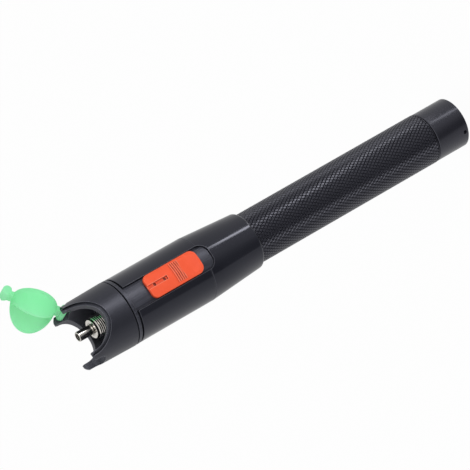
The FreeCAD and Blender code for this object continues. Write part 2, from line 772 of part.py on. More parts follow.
pieces = {
    "tail_cap": tail_cap(),
    "tail_o_ring": tail_o_ring(),
    "tail_spring": tail_spring(),
    "battery_tube": battery_tube(),
    "battery_rear": cell(cell_z0),
    "battery_front": cell(cell_z0 + cell_len),
    "contact_holder": contact_holder(),
    "front_contact": front_contact(),
    "rear_housing": rear_housing(),
    "front_sleeve": front_sleeve(),
    "inner_barrel": inner_barrel(),
    "slide_button": slide_button(),
    "switch_lever": switch_lever(),
    "switch_body": switch_body(),
    "circuit_board": circuit_board(),
    "laser_housing": laser_housing(),
    "laser_diode": laser_diode(),
    "focus_lens": focus_lens(),
    "lens_spring": lens_spring(),
    "lens_retainer": lens_retainer(),
    "connector_body": connector_body(),
    "ferrule_tube": ferrule_tube(),
    "ceramic_sleeve": ceramic_sleeve(),
    "connector_collar": connector_collar(),
    "lock_nut": lock_nut(),
    "hood_screws": hood_screws(),
    "nose_hood": nose_hood(),
    "dust_cap": dust_cap(),
}
os.makedirs("parts", exist_ok=True)
for name, shape in pieces.items():
    shape.exportStep("parts/" + name + ".step")
    print(name, "solids", len(shape.Solids), "valid", shape.isValid(), "volume", round(shape.Volume, 2))
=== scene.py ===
import bmesh
import bpy
import math
from mathutils import Matrix, Vector


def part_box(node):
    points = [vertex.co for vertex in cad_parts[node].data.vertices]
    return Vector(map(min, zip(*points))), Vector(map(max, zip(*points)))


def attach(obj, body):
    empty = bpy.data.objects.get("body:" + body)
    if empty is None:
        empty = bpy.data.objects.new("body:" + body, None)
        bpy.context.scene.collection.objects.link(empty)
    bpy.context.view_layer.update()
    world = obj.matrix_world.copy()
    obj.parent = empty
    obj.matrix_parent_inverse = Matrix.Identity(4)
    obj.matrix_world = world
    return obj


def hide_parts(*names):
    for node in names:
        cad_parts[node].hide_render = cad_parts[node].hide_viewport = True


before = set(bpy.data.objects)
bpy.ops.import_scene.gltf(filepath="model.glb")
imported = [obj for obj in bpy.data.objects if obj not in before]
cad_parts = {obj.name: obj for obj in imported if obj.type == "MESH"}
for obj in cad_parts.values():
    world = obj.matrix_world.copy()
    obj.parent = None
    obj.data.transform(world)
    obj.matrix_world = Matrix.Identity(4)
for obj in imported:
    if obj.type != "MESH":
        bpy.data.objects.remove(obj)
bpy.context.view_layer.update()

# ---- camera -------------------------------------------------------------------------------------
# A long lens looks down on the nose and the thumb slide. The pen stands on its tail, and the
# camera is rolled so that the pen lies from the lower left up to the right.
camera_right = Vector((-0.564584, -0.267737, -0.780745))
camera_up = Vector((0.803920, -0.392656, -0.446692))
camera_back = Vector((-0.186968, -0.879851, 0.436926))
camera_data = bpy.data.cameras.new("camera")
camera_data.sensor_width = 36.0
camera_data.lens = 308.8
camera_data.clip_start = 0.05
camera_data.clip_end = 20.0
camera = bpy.data.objects.new("camera", camera_data)
bpy.context.scene.collection.objects.link(camera)
camera_turn = Matrix((camera_right, camera_up, camera_back)).transposed().to_4x4()
camera.matrix_world = Matrix.Translation((-0.275628, -1.315478, 0.756649)) @ camera_turn
bpy.context.scene.camera = camera
bpy.context.scene.view_settings.view_transform = "Standard"


# ---- battery tube --------------------------------------------------------------------------------
# Drawn aluminium tube that holds two cells and serves as the grip. It is turned, a diamond knurl is
# rolled into it, and it is anodised black, which leaves a satin skin with fine turning lines.
MM = 0.001                # a millimetre in metres


def tone(hexadecimal):
    """Colour written as sRGB, turned to the linear values that a shader takes."""
    parts = [int(hexadecimal[k:k + 2], 16) / 255 for k in (1, 3, 5)]
    return [p / 12.92 if p <= 0.04045 else ((p + 0.055) / 1.055) ** 2.4 for p in parts] + [1.0]


def add(tree, kind, feeds=(), **settings):
    """A node with its settings, and its sockets set to values or linked to other nodes' outputs.

    A socket is given by name, or by number where a node has several of one name. Map Range reads
    from 1 to 2 and gives 3 to 4. Mix has its factor at 0 and its two colours at 6 and 7.
    """
    node = tree.nodes.new(kind)
    for name, value in settings.items():
        setattr(node, name, value)
    for socket, feed in dict(feeds).items():
        if isinstance(feed, bpy.types.NodeSocket):
            tree.links.new(feed, node.inputs[socket])
        else:
            node.inputs[socket].default_value = feed
    return node


def material(name):
    """An empty material and its node tree."""
    made = bpy.data.materials.new(name)
    made.use_nodes = True
    made.node_tree.nodes.clear()
    return made, made.node_tree


def lathe(outline, steps):
    """Closed outline of (radius, height) in millimetres, turned about the pen's axis."""
    shape = bmesh.new()
    corners = [shape.verts.new((r * MM, 0, z * MM)) for r, z in outline]
    sides = [shape.edges.new(pair) for pair in zip(corners, corners[1:] + corners[:1])]
    bmesh.ops.spin(shape, geom=corners + sides, cent=(0, 0, 0), axis=(0, 0, 1), angle=2 * math.pi,
                   steps=steps, use_merge=True, use_normal_flip=False, use_duplicate=False)
    bmesh.ops.remove_doubles(shape, verts=shape.verts, dist=1e-7)
    bmesh.ops.recalc_face_normals(shape, faces=shape.faces)
    return shape


def piece(shape, name, body, skin, crease=35):
    """A finished piece: smooth but for its creases, in its material, riding on its body."""
    for face in shape.faces:
        face.smooth = True
    for edge in shape.edges:
        edge.smooth = not (edge.is_manifold and edge.calc_face_angle() > math.radians(crease))
    mesh = bpy.data.meshes.new(name)
    shape.to_mesh(mesh)
    shape.free()
    mesh.materials.append(skin)
    made = bpy.data.objects.new(name, mesh)
    bpy.context.scene.collection.objects.link(made)
    even = made.modifiers.new("even_shading", "WEIGHTED_NORMAL")
    even.keep_sharp = True
    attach(made, body)
    return made


def paint(skin, *names):
    """Gives CAD nodes that keep their own shape a material."""
    for name in names:
        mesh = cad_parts[name].data
        mesh.materials.clear()
        mesh.materials.append(skin)


anodised, tree = material("anodised_aluminium_black")
# Black anodising on turned aluminium: a dark satin skin whose faint rings streak the highlights.
# Down in the knurl, painted shade from ambient occlusion turns its reflection down. The rings are
# drawn 0.3 mm apart, coarser than a real feed mark, so that they show.
place = add(tree, "ShaderNodeTexCoord").outputs["Object"]
rings = add(tree, "ShaderNodeMapping", {"Vector": place, "Scale": (60, 60, 3300)})
ring_noise = add(tree, "ShaderNodeTexNoise", {
    "Vector": rings.outputs[0], "Scale": 1.0, "Detail": 2.0})
cloud = add(tree, "ShaderNodeTexNoise", {"Vector": place, "Scale": 160.0, "Detail": 3.0})
dye = add(tree, "ShaderNodeMix", {0: cloud.outputs[0], 6: tone("#121219"), 7: tone("#18181F")},
          data_type="RGBA")
matt = add(tree, "ShaderNodeMapRange", {0: ring_noise.outputs[0], 3: 0.20, 4: 0.28})
relief = add(tree, "ShaderNodeBump", {
    "Strength": 0.25, "Distance": 0.000012, "Height": ring_noise.outputs[0]})
# Painted shade: the specular level falls where ambient occlusion finds the knurl's grooves.
hollow = add(tree, "ShaderNodeAmbientOcclusion", {"Distance": 0.0005}, samples=8)
gloss = add(tree, "ShaderNodeMapRange", {
    0: hollow.outputs["AO"], 1: 0.6, 2: 0.98, 3: 0.08, 4: 0.58})
skin = add(tree, "ShaderNodeBsdfPrincipled", {
    "Base Color": dye.outputs[2], "Roughness": matt.outputs[0], "Normal": relief.outputs[0],
    "IOR": 1.6, "Specular IOR Level": gloss.outputs[0], "Specular Tint": (0.85, 0.86, 1.0, 1.0)})
add(tree, "ShaderNodeOutputMaterial", {"Surface": skin.outputs[0]})

tube_low, tube_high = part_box("battery_tube")
tube_r = tube_high.x / MM
tube_z0 = tube_low.z / MM
tube_z1 = tube_high.z / MM
socket_r = 9.12           # the tail cap screws in here
socket_z1 = tube_z0 + 8.5
bore_r = 7.45             # the cells lie in this
bore_z0 = tube_z0 + 9
neck_z0 = tube_z1 - 12.2  # the housings slip over the neck
neck_r = tube_r - 0.5
knurl_z0 = tube_z0 + 0.45
knurl_z1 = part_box("rear_housing")[0].z / MM + 0.6
knurl_deep = 0.2
core_r = tube_r - knurl_deep - 0.15
battery_tube = piece(lathe([
    (socket_r, tube_z0), (tube_r - 0.25, tube_z0), (tube_r, tube_z0 + 0.2), (tube_r, knurl_z0),
    (core_r, knurl_z0), (core_r, knurl_z1), (tube_r, knurl_z1), (tube_r, neck_z0),
    (neck_r, neck_z0), (neck_r, tube_z1), (bore_r, tube_z1), (bore_r, bore_z0),
    (socket_r, socket_z1)], 132), "battery_tube_core", "body", anodised)
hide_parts("battery_tube")

# Knurl: 44 grooves each way round, 2.2 mm apart along the tube. A lattice of squares is wrapped
# round the tube, each cut in four from its middle, and the squares' own sides are dissolved, which
# leaves diamonds. Each is drawn up to a slightly crowned top.
knurl_starts = 44
knurl_pitch = 2.2
knurl_flank = 0.2
knurl_rows = round((knurl_z1 - knurl_z0) / knurl_pitch)
rise = (knurl_z1 - knurl_z0) / knurl_rows
floor_r = tube_r - knurl_deep
knurl = lathe([(floor_r, knurl_z0 + k * rise) for k in range(knurl_rows + 1)]
              + [(core_r - 0.2, knurl_z1), (core_r - 0.2, knurl_z0)], knurl_starts)
skin_r = (floor_r - 0.1) * MM
outside = [f for f in knurl.faces if math.hypot(*f.calc_center_median().xy) > skin_r]
lattice = [e for e in knurl.edges if all(f in set(outside) for f in e.link_faces)]
bmesh.ops.poke(knurl, faces=outside, offset=0)
for vert in knurl.verts:
    if math.hypot(*vert.co.xy) > skin_r:
        vert.co.xy = vert.co.xy.normalized() * floor_r * MM
bmesh.ops.dissolve_edges(knurl, edges=lattice, use_verts=False)
diamonds = [f for f in knurl.faces if math.hypot(*f.calc_center_median().xy) > skin_r]
bmesh.ops.inset_individual(knurl, faces=diamonds, thickness=knurl_flank * MM,
                           depth=knurl_deep * MM, use_even_offset=True)
for peak in bmesh.ops.poke(knurl, faces=diamonds, offset=0)["verts"]:
    peak.co.xy = peak.co.xy.normalized() * tube_r * MM
piece(knurl, "grip_knurl", "body", anodised, crease=25)


# ---- tail cap ------------------------------------------------------------------------------------
# Turned aluminium cup, anodised as the tube is, that screws into it over a rubber ring. The spring
# inside pushes on the cells. A cross hole near its rim takes a wrist strap.
rubber, tree = material("nitrile_rubber_black")
# Moulded nitrile rubber: dull and nearly black, with a dusting of talc.
place = add(tree, "ShaderNodeTexCoord").outputs["Object"]
talc = add(tree, "ShaderNodeTexNoise", {"Vector": place, "Scale": 900.0, "Detail": 4.0})
tint = add(tree, "ShaderNodeMix", {0: talc.outputs[0], 6: tone("#101011"), 7: tone("#1F1F20")},
           data_type="RGBA")
skin = add(tree, "ShaderNodeBsdfPrincipled", {"Base Color": tint.outputs[2], "Roughness": 0.72})
add(tree, "ShaderNodeOutputMaterial", {"Surface": skin.outputs[0]})

steel, tree = material("spring_steel")
# Drawn and nickel-flashed steel wire and sheet: grey metal with fine marks about 0.4 mm long.
place = add(tree, "ShaderNodeTexCoord").outputs["Object"]
marks = add(tree, "ShaderNodeTexNoise", {"Vector": place, "Scale": 2500.0, "Detail": 3.0})
matt = add(tree, "ShaderNodeMapRange", {0: marks.outputs[0], 3: 0.22, 4: 0.38})
grey = add(tree, "ShaderNodeMix", {0: marks.outputs[0], 6: tone("#A9A9AA"), 7: tone("#C6C6C4")},
           data_type="RGBA")
skin = add(tree, "ShaderNodeBsdfPrincipled", {
    "Base Color": grey.outputs[2], "Metallic": 1.0, "Roughness": matt.outputs[0]})
add(tree, "ShaderNodeOutputMaterial", {"Surface": skin.outputs[0]})

paint(anodised, "tail_cap")
paint(rubber, "tail_o_ring")
paint(steel, "tail_spring", "switch_body", "lens_spring")


def thread(radius, z0, z1, pitch, deep):
    """Helical ridge of triangular section, in millimetres, its ends closed."""
    shape = bmesh.new()
    turns = (z1 - z0) / pitch - 1
    corners = [shape.verts.new((r * MM, 0, z * MM)) for r, z in (
        (radius - 0.15, z0), (radius + deep, z0 + pitch * 0.42), (radius + deep, z0 + pitch * 0.52),
        (radius - 0.15, z0 + pitch * 0.94))]
    sides = [shape.edges.new(pair) for pair in zip(corners, corners[1:] + corners[:1])]
    steps = int(turns * 40)
    bmesh.ops.spin(shape, geom=corners + sides, cent=(0, 0, 0), axis=(0, 0, 1),
                   dvec=(0, 0, turns * pitch * MM / steps), angle=turns * 2 * math.pi, steps=steps,
                   use_merge=False, use_normal_flip=False, use_duplicate=False)
    bmesh.ops.holes_fill(shape, edges=[e for e in shape.edges if e.is_boundary], sides=8)
    bmesh.ops.recalc_face_normals(shape, faces=shape.faces)
    return shape


spigot_z1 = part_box("tail_cap")[1].z / MM
spigot_r = 8.72
piece(thread(spigot_r, z0=tube_z0 + 1.2, z1=spigot_z1 - 0.3, pitch=1.0, deep=0.3),
      "tail_cap_thread", "tail", anodised)


# ---- cells and front contact ---------------------------------------------------------------------
# Two AA cells in a printed film sleeve, a moulded nylon contact holder clamped in front of them,
# and the brass rivet that carries the current to the board.
film, tree = material("cell_shrink_film")
# Shrink sleeve on a steel can: dark glossy film, slightly uneven where it was shrunk.
place = add(tree, "ShaderNodeTexCoord").outputs["Object"]
ripple = add(tree, "ShaderNodeTexNoise", {"Vector": place, "Scale": 220.0, "Detail": 2.0})
tint = add(tree, "ShaderNodeMix", {0: ripple.outputs[0], 6: tone("#2C3138"), 7: tone("#3B4149")},
           data_type="RGBA")
relief = add(tree, "ShaderNodeBump", {
    "Strength": 0.1, "Distance": 0.00005, "Height": ripple.outputs[0]})
skin = add(tree, "ShaderNodeBsdfPrincipled", {
    "Base Color": tint.outputs[2], "Roughness": 0.25, "Normal": relief.outputs[0]})
add(tree, "ShaderNodeOutputMaterial", {"Surface": skin.outputs[0]})
paint(film, "battery_rear", "battery_front")

nylon, tree = material("moulded_nylon_natural")
# Natural nylon: warm ivory, half matt, with a faint moulded grain.
place = add(tree, "ShaderNodeTexCoord").outputs["Object"]
grain = add(tree, "ShaderNodeTexNoise", {"Vector": place, "Scale": 1500.0, "Detail": 3.0})
tint = add(tree, "ShaderNodeMix", {0: grain.outputs[0], 6: tone("#C9C1AC"), 7: tone("#D8D1BE")},
           data_type="RGBA")
skin = add(tree, "ShaderNodeBsdfPrincipled", {"Base Color": tint.outputs[2], "Roughness": 0.5})
add(tree, "ShaderNodeOutputMaterial", {"Surface": skin.outputs[0]})
paint(nylon, "contact_holder")

brass, tree = material("turned_brass")
# Free-cutting brass straight from the lathe: yellow metal, ringed by the tool.
place = add(tree, "ShaderNodeTexCoord").outputs["Object"]
rings = add(tree, "ShaderNodeMapping", {"Vector": place, "Scale": (80, 80, 4000)})
marks = add(tree, "ShaderNodeTexNoise", {"Vector": rings.outputs[0], "Scale": 1.0, "Detail": 2.0})
matt = add(tree, "ShaderNodeMapRange", {0: marks.outputs[0], 3: 0.18, 4: 0.34})
tint = add(tree, "ShaderNodeMix", {0: marks.outputs[0], 6: tone("#B9964C"), 7: tone("#D2B066")},
           data_type="RGBA")
skin = add(tree, "ShaderNodeBsdfPrincipled", {
    "Base Color": tint.outputs[2], "Metallic": 1.0, "Roughness": matt.outputs[0]})
add(tree, "ShaderNodeOutputMaterial", {"Surface": skin.outputs[0]})
paint(brass, "front_contact", "laser_housing", "lens_retainer")


# ---- rear housing --------------------------------------------------------------------------------
# Tapered housing moulded in black ABS and slipped over the front of the tube. The end of the switch
# channel is cut into it. Its edges are rounded as a mould leaves them.
def rounded(source, radius, segments, sharp=30):
    """Copy of a CAD node's surface with its sharp edges rounded, in millimetres."""
    shape = bmesh.new()
    shape.from_mesh(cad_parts[source].data)
    bmesh.ops.remove_doubles(shape, verts=shape.verts, dist=2e-6)
    bmesh.ops.dissolve_limit(shape, angle_limit=math.radians(0.8), use_dissolve_boundaries=False,
                             verts=shape.verts, edges=shape.edges)
    bmesh.ops.dissolve_degenerate(shape, dist=2e-6, edges=shape.edges)
    edges = [e for e in shape.edges if e.is_manifold and e.calc_face_angle() > math.radians(sharp)]
    bmesh.ops.bevel(shape, geom=edges, offset=radius * MM, offset_type="OFFSET", affect="EDGES",
                    segments=segments, profile=0.5, material=-1, clamp_overlap=True)
    bmesh.ops.recalc_face_normals(shape, faces=shape.faces)
    return shape


def edge_highlight(tree, dye, pale="#72737C", share=0.4, width=0.3):
    """Colour that pales along outer edges as a painted highlight; width in mm."""
    edge = add(tree, "ShaderNodeAmbientOcclusion", {"Distance": width * MM}, samples=8, inside=True)
    highlight_share = add(tree, "ShaderNodeMapRange", {
        0: edge.outputs["AO"], 1: 0.95, 2: 0.55, 3: 0.0, 4: share})
    mixed = add(tree, "ShaderNodeMix", {0: highlight_share.outputs[0], 6: dye.outputs[2], 7: tone(pale)},
                data_type="RGBA")
    return mixed.outputs[2]


moulded, tree = material("moulded_abs_black")
# Injection-moulded ABS, black with a spark-eroded grain of about 0.3 mm: a soft satin highlight.
place = add(tree, "ShaderNodeTexCoord").outputs["Object"]
grain = add(tree, "ShaderNodeTexNoise", {"Vector": place, "Scale": 3200.0, "Detail": 2.0})
cloud = add(tree, "ShaderNodeTexNoise", {"Vector": place, "Scale": 120.0, "Detail": 3.0})
dye = add(tree, "ShaderNodeMix", {0: cloud.outputs[0], 6: tone("#12131A"), 7: tone("#181920")},
          data_type="RGBA")
matt = add(tree, "ShaderNodeMapRange", {0: cloud.outputs[0], 3: 0.36, 4: 0.44})
relief = add(tree, "ShaderNodeBump", {
    "Strength": 0.2, "Distance": 0.00001, "Height": grain.outputs[0]})
# Outer edges are painted paler: a painted highlight.
skin = add(tree, "ShaderNodeBsdfPrincipled", {
    "Base Color": edge_highlight(tree, dye), "Roughness": matt.outputs[0], "Normal": relief.outputs[0],
    "IOR": 1.54, "Specular Tint": (0.85, 0.86, 1.0, 1.0)})
add(tree, "ShaderNodeOutputMaterial", {"Surface": skin.outputs[0]})

polished, tree = material("moulded_abs_black_polished")
# The same ABS from a mould that was polished: glossier, so that it mirrors a crisp line of light.
place = add(tree, "ShaderNodeTexCoord").outputs["Object"]
cloud = add(tree, "ShaderNodeTexNoise", {"Vector": place, "Scale": 120.0, "Detail": 3.0})
dye = add(tree, "ShaderNodeMix", {0: cloud.outputs[0], 6: tone("#12131A"), 7: tone("#181920")},
          data_type="RGBA")
matt = add(tree, "ShaderNodeMapRange", {0: cloud.outputs[0], 3: 0.09, 4: 0.14})
# Outer edges are painted paler: a painted highlight.
skin = add(tree, "ShaderNodeBsdfPrincipled", {
    "Base Color": edge_highlight(tree, dye), "Roughness": matt.outputs[0], "IOR": 1.54,
    "Specular Tint": (0.85, 0.86, 1.0, 1.0)})
add(tree, "ShaderNodeOutputMaterial", {"Surface": skin.outputs[0]})
rear_housing = piece(rounded("rear_housing", radius=0.2, segments=3), "rear_housing_shell", "body",
                     polished)
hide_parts("rear_housing")


# ---- inner barrel --------------------------------------------------------------------------------
# Moulded chassis inside the housings, clamped by them. Its raised pad is the floor of the switch
# channel and its band shows between the sleeve and the hood.
rubbed, tree = material("moulded_abs_black_rubbed")
# The same satin ABS where the slide runs over it: greyer, with rub marks 0.4 mm wide along the pen.
place = add(tree, "ShaderNodeTexCoord").outputs["Object"]
along = add(tree, "ShaderNodeMapping", {"Vector": place, "Scale": (2600, 2600, 90)})
scores = add(tree, "ShaderNodeTexNoise", {"Vector": along.outputs[0], "Scale": 1.0, "Detail": 3.0})
contrast = add(tree, "ShaderNodeMapRange", {0: scores.outputs[0], 1: 0.35, 2: 0.65})
dye = add(tree, "ShaderNodeMix", {0: contrast.outputs[0], 6: tone("#1B1C22"), 7: tone("#33343C")},
          data_type="RGBA")
matt = add(tree, "ShaderNodeMapRange", {0: contrast.outputs[0], 3: 0.34, 4: 0.42})
# Outer edges are painted paler: a painted highlight.
skin = add(tree, "ShaderNodeBsdfPrincipled", {
    "Base Color": edge_highlight(tree, dye), "Roughness": matt.outputs[0], "IOR": 1.54,
    "Specular Tint": (0.85, 0.86, 1.0, 1.0)})
add(tree, "ShaderNodeOutputMaterial", {"Surface": skin.outputs[0]})
inner_barrel = piece(rounded("inner_barrel", radius=0.15, segments=3), "inner_barrel_chassis",
                     "body", rubbed)
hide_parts("inner_barrel")


# ---- board and switch ----------------------------------------------------------------------------
# Driver board of glass laminate under green solder mask, with a sheet-steel slide switch on it. The
# moulded lever stands up into a pocket of the thumb slide.
laminate, tree = material("glass_laminate_green")
# Solder mask over woven glass: glossy green, with the weave's 0.5 mm squares just showing through.
place = add(tree, "ShaderNodeTexCoord").outputs["Object"]
weave = add(tree, "ShaderNodeTexChecker", {
    "Vector": place, "Scale": 2000.0, "Color1": tone("#1C5532"), "Color2": tone("#215F39")})
skin = add(tree, "ShaderNodeBsdfPrincipled", {"Base Color": weave.outputs[0], "Roughness": 0.3})
add(tree, "ShaderNodeOutputMaterial", {"Surface": skin.outputs[0]})
paint(laminate, "circuit_board")
paint(moulded, "switch_lever")


# ---- thumb slide ---------------------------------------------------------------------------------
# Orange ABS moulding, curved as the sleeve is. Ribs across its middle and a shallow dish give the
# thumb a hold, and a fine groove with two pits runs towards its front.
orange, tree = material("moulded_abs_orange")
# Moulded ABS in signal orange: satin with a faint grain. Painted shade darkens the hollows and
# nearly blackens the two pits, and the ribs and rims get a paler painted highlight.
place = add(tree, "ShaderNodeTexCoord").outputs["Object"]
grain = add(tree, "ShaderNodeTexNoise", {"Vector": place, "Scale": 2600.0, "Detail": 2.0})
cloud = add(tree, "ShaderNodeTexNoise", {"Vector": place, "Scale": 260.0, "Detail": 2.0})
tint = add(tree, "ShaderNodeMix", {0: cloud.outputs[0], 6: tone("#E64C26"), 7: tone("#EE5A32")},
           data_type="RGBA")
# Painted shade: ambient occlusion darkens the hollows and nearly blackens the pits.
hollow = add(tree, "ShaderNodeAmbientOcclusion", {"Distance": 0.0012}, samples=8)
pit = add(tree, "ShaderNodeMapRange", {0: hollow.outputs["AO"], 1: 0.4, 2: 0.52})
shade = add(tree, "ShaderNodeMapRange", {0: hollow.outputs["AO"], 1: 0.55, 2: 0.97})
dark = add(tree, "ShaderNodeMix", {0: pit.outputs[0], 6: tone("#220302"), 7: tone("#D04526")},
           data_type="RGBA")
# The ribs and rims are painted paler: a painted highlight.
painted_rim_highlight = edge_highlight(tree, tint, pale="#FF9E80", share=0.8, width=0.25)
deep = add(tree, "ShaderNodeMix", {0: shade.outputs[0], 6: dark.outputs[2], 7: painted_rim_highlight},
           data_type="RGBA")
relief = add(tree, "ShaderNodeBump", {
    "Strength": 0.15, "Distance": 0.00001, "Height": grain.outputs[0]})
skin = add(tree, "ShaderNodeBsdfPrincipled", {
    "Base Color": deep.outputs[2], "Roughness": 0.5, "Normal": relief.outputs[0], "IOR": 1.54,
    "Specular IOR Level": 0.3})
add(tree, "ShaderNodeOutputMaterial", {"Surface": skin.outputs[0]})
slide = piece(rounded("slide_button", radius=0.08, segments=2), "thumb_slide", "button", orange)
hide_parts("slide_button")


# ---- front sleeve --------------------------------------------------------------------------------
# Moulded sleeve that slips over the inner barrel and clamps it to the rear housing. The switch
# channel is cut through its whole length.
front_sleeve = piece(rounded("front_sleeve", radius=0.22, segments=3), "front_sleeve_shell", "body",
                     polished)
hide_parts("front_sleeve")


# ---- laser module --------------------------------------------------------------------------------
# Brass barrel with a gold-plated diode pressed into its rear, a glass lens held by a ring and a
# fine spring.
gilt, tree = material("gold_plated_steel")
# Thin gold over a stamped steel can: warm metal, slightly orange-peeled.
place = add(tree, "ShaderNodeTexCoord").outputs["Object"]
peel = add(tree, "ShaderNodeTexNoise", {"Vector": place, "Scale": 1800.0, "Detail": 2.0})
matt = add(tree, "ShaderNodeMapRange", {0: peel.outputs[0], 3: 0.15, 4: 0.3})
skin = add(tree, "ShaderNodeBsdfPrincipled", {
    "Base Color": tone("#E0BF72"), "Metallic": 1.0, "Roughness": matt.outputs[0]})
add(tree, "ShaderNodeOutputMaterial", {"Surface": skin.outputs[0]})
paint(gilt, "laser_diode")

glass, tree = material("polished_optical_glass")
# Polished crown glass with the faint, uneven blue cast of its anti-reflection coat.
place = add(tree, "ShaderNodeTexCoord").outputs["Object"]
coat = add(tree, "ShaderNodeTexNoise", {"Vector": place, "Scale": 300.0, "Detail": 1.0})
tint = add(tree, "ShaderNodeMix", {0: coat.outputs[0], 6: tone("#E9F0FA"), 7: tone("#F4F7FC")},
           data_type="RGBA")
skin = add(tree, "ShaderNodeBsdfPrincipled", {
    "Base Color": tint.outputs[2], "Roughness": 0.02, "IOR": 1.52, "Transmission Weight": 1.0})
add(tree, "ShaderNodeOutputMaterial", {"Surface": skin.outputs[0]})
paint(glass, "focus_lens")


# ---- connector -----------------------------------------------------------------------------------
# Universal connector turned from nickel-plated brass: threaded barrel, hexagon lock nut, collar,
# and the socket tube with its white ceramic sleeve. Two slotted screws hold the hood beside it.
nickel, tree = material("nickel_plated_brass")
# Bright nickel plate on turned brass: near-mirror metal, faintly warm, with rings from the tool
# 0.2 mm apart, and painted shade down in its hollows.
place = add(tree, "ShaderNodeTexCoord").outputs["Object"]
rings = add(tree, "ShaderNodeMapping", {"Vector": place, "Scale": (90, 90, 5000)})
marks = add(tree, "ShaderNodeTexNoise", {"Vector": rings.outputs[0], "Scale": 1.0, "Detail": 2.0})
matt = add(tree, "ShaderNodeMapRange", {0: marks.outputs[0], 3: 0.10, 4: 0.16})
tint = add(tree, "ShaderNodeMix", {0: marks.outputs[0], 6: tone("#BFBBB5"), 7: tone("#CFCBC5")},
           data_type="RGBA")
# Painted shade: ambient occlusion darkens the hollows.
hollow = add(tree, "ShaderNodeAmbientOcclusion", {"Distance": 0.0008}, samples=8)
light = add(tree, "ShaderNodeMapRange", {0: hollow.outputs["AO"], 1: 0.35, 2: 0.85})
hollow_shaded = add(tree, "ShaderNodeMix", {0: light.outputs[0], 6: tone("#2E2B28"), 7: tint.outputs[2]},
             data_type="RGBA")
skin = add(tree, "ShaderNodeBsdfPrincipled", {
    "Base Color": hollow_shaded.outputs[2], "Metallic": 1.0, "Roughness": matt.outputs[0]})
add(tree, "ShaderNodeOutputMaterial", {"Surface": skin.outputs[0]})

ceramic, tree = material("ground_zirconia")
# Ground and polished zirconia: dense warm white with a hard gloss; painted shade darkens the bore.
place = add(tree, "ShaderNodeTexCoord").outputs["Object"]
cloud = add(tree, "ShaderNodeTexNoise", {"Vector": place, "Scale": 1200.0, "Detail": 2.0})
tint = add(tree, "ShaderNodeMix", {0: cloud.outputs[0], 6: tone("#E4E0D5"), 7: tone("#F1EEE6")},
           data_type="RGBA")
# Painted shade from ambient occlusion down the bore.
hollow = add(tree, "ShaderNodeAmbientOcclusion", {"Distance": 0.004}, samples=8)
light = add(tree, "ShaderNodeMapRange", {0: hollow.outputs["AO"], 1: 0.3, 2: 0.9})
deep = add(tree, "ShaderNodeMix", {0: light.outputs[0], 6: tone("#211F1A"), 7: tint.outputs[2]},
           data_type="RGBA")
skin = add(tree, "ShaderNodeBsdfPrincipled", {
    "Base Color": deep.outputs[2], "Roughness": 0.15, "IOR": 1.9})
add(tree, "ShaderNodeOutputMaterial", {"Surface": skin.outputs[0]})
paint(ceramic, "ceramic_sleeve")
paint(nickel, "hood_screws", "connector_body")

nut_z1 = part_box("lock_nut")[1].z / MM
collar_z0, collar_z1 = (corner.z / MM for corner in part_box("connector_collar"))
steel_z0, steel_z1 = (corner.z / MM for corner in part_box("ferrule_tube"))
barrel_r = 3.98
piece(thread(barrel_r, z0=nut_z1 - 0.5, z1=collar_z1 + 0.6, pitch=0.75, deep=0.22),
      "connector_thread", "body", nickel)
collar_r = 3.5
flange_r = 3.75
flange_z1 = collar_z1 + 1.0
steel_r = 1.95            # socket tube, outside
steel_bore_r = 1.6        # and inside; a lip at its mouth narrows it to 1.5
collar = piece(lathe([
    (steel_r + 0.01, collar_z0), (collar_r, collar_z0), (collar_r, flange_z1 - 0.6),
    (flange_r, flange_z1 - 0.5), (flange_r, flange_z1 - 0.1), (flange_r - 0.1, flange_z1),
    (2.6, flange_z1), (2.45, flange_z1 - 0.15), (steel_r + 0.01, flange_z1 - 0.15)], 96),
    "connector_collar_ring", "body", nickel)
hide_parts("connector_collar")
socket = piece(lathe([
    (steel_bore_r, steel_z0), (steel_r, steel_z0), (steel_r, steel_z1 - 0.2),
    (1.89, steel_z1 - 0.06), (1.75, steel_z1), (1.55, steel_z1), (1.5, steel_z1 - 0.06),
    (1.5, steel_z1 - 0.55), (steel_bore_r, steel_z1 - 0.6)], 96),
    "socket_tube", "body", nickel)
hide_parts("ferrule_tube")
nut = piece(rounded("lock_nut", radius=0.12, segments=2), "lock_nut_hexagon", "body", nickel)
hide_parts("lock_nut")


# ---- nose hood -----------------------------------------------------------------------------------
# Moulded black ABS hood. Two scallops leave a pair of notched horns that carry the dust cap, and a
# rebate runs round inside the scallops.
core_painted_paler, tree = material("moulded_abs_black_rough_core_painted_paler")
# The same ABS, its outer skin satin. The cavity and the scallops, all that lies within 12.3 mm of
# the axis, are rougher, and painted paler as a painted reflection of the light they catch.
place = add(tree, "ShaderNodeTexCoord").outputs["Object"]
grain = add(tree, "ShaderNodeTexNoise", {"Vector": place, "Scale": 3200.0, "Detail": 2.0})
cloud = add(tree, "ShaderNodeTexNoise", {"Vector": place, "Scale": 120.0, "Detail": 3.0})
flat = add(tree, "ShaderNodeMapping", {"Vector": place, "Scale": (1, 1, 0)})
radius = add(tree, "ShaderNodeVectorMath", {0: flat.outputs[0]}, operation="LENGTH")
inside = add(tree, "ShaderNodeMapRange", {0: radius.outputs["Value"], 1: 12.4 * MM, 2: 12.2 * MM})
skin_dye = add(tree, "ShaderNodeMix", {0: cloud.outputs[0], 6: tone("#17181F"), 7: tone("#1E1F26")},
               data_type="RGBA")
# Painted reflection: paler colour within 12.3 mm of the axis.
dye = add(tree, "ShaderNodeMix", {0: inside.outputs[0], 6: skin_dye.outputs[2], 7: tone("#34353B")},
          data_type="RGBA")
matt = add(tree, "ShaderNodeMapRange", {0: inside.outputs[0], 3: 0.38, 4: 0.55})
relief = add(tree, "ShaderNodeBump", {
    "Strength": 0.2, "Distance": 0.00001, "Height": grain.outputs[0]})
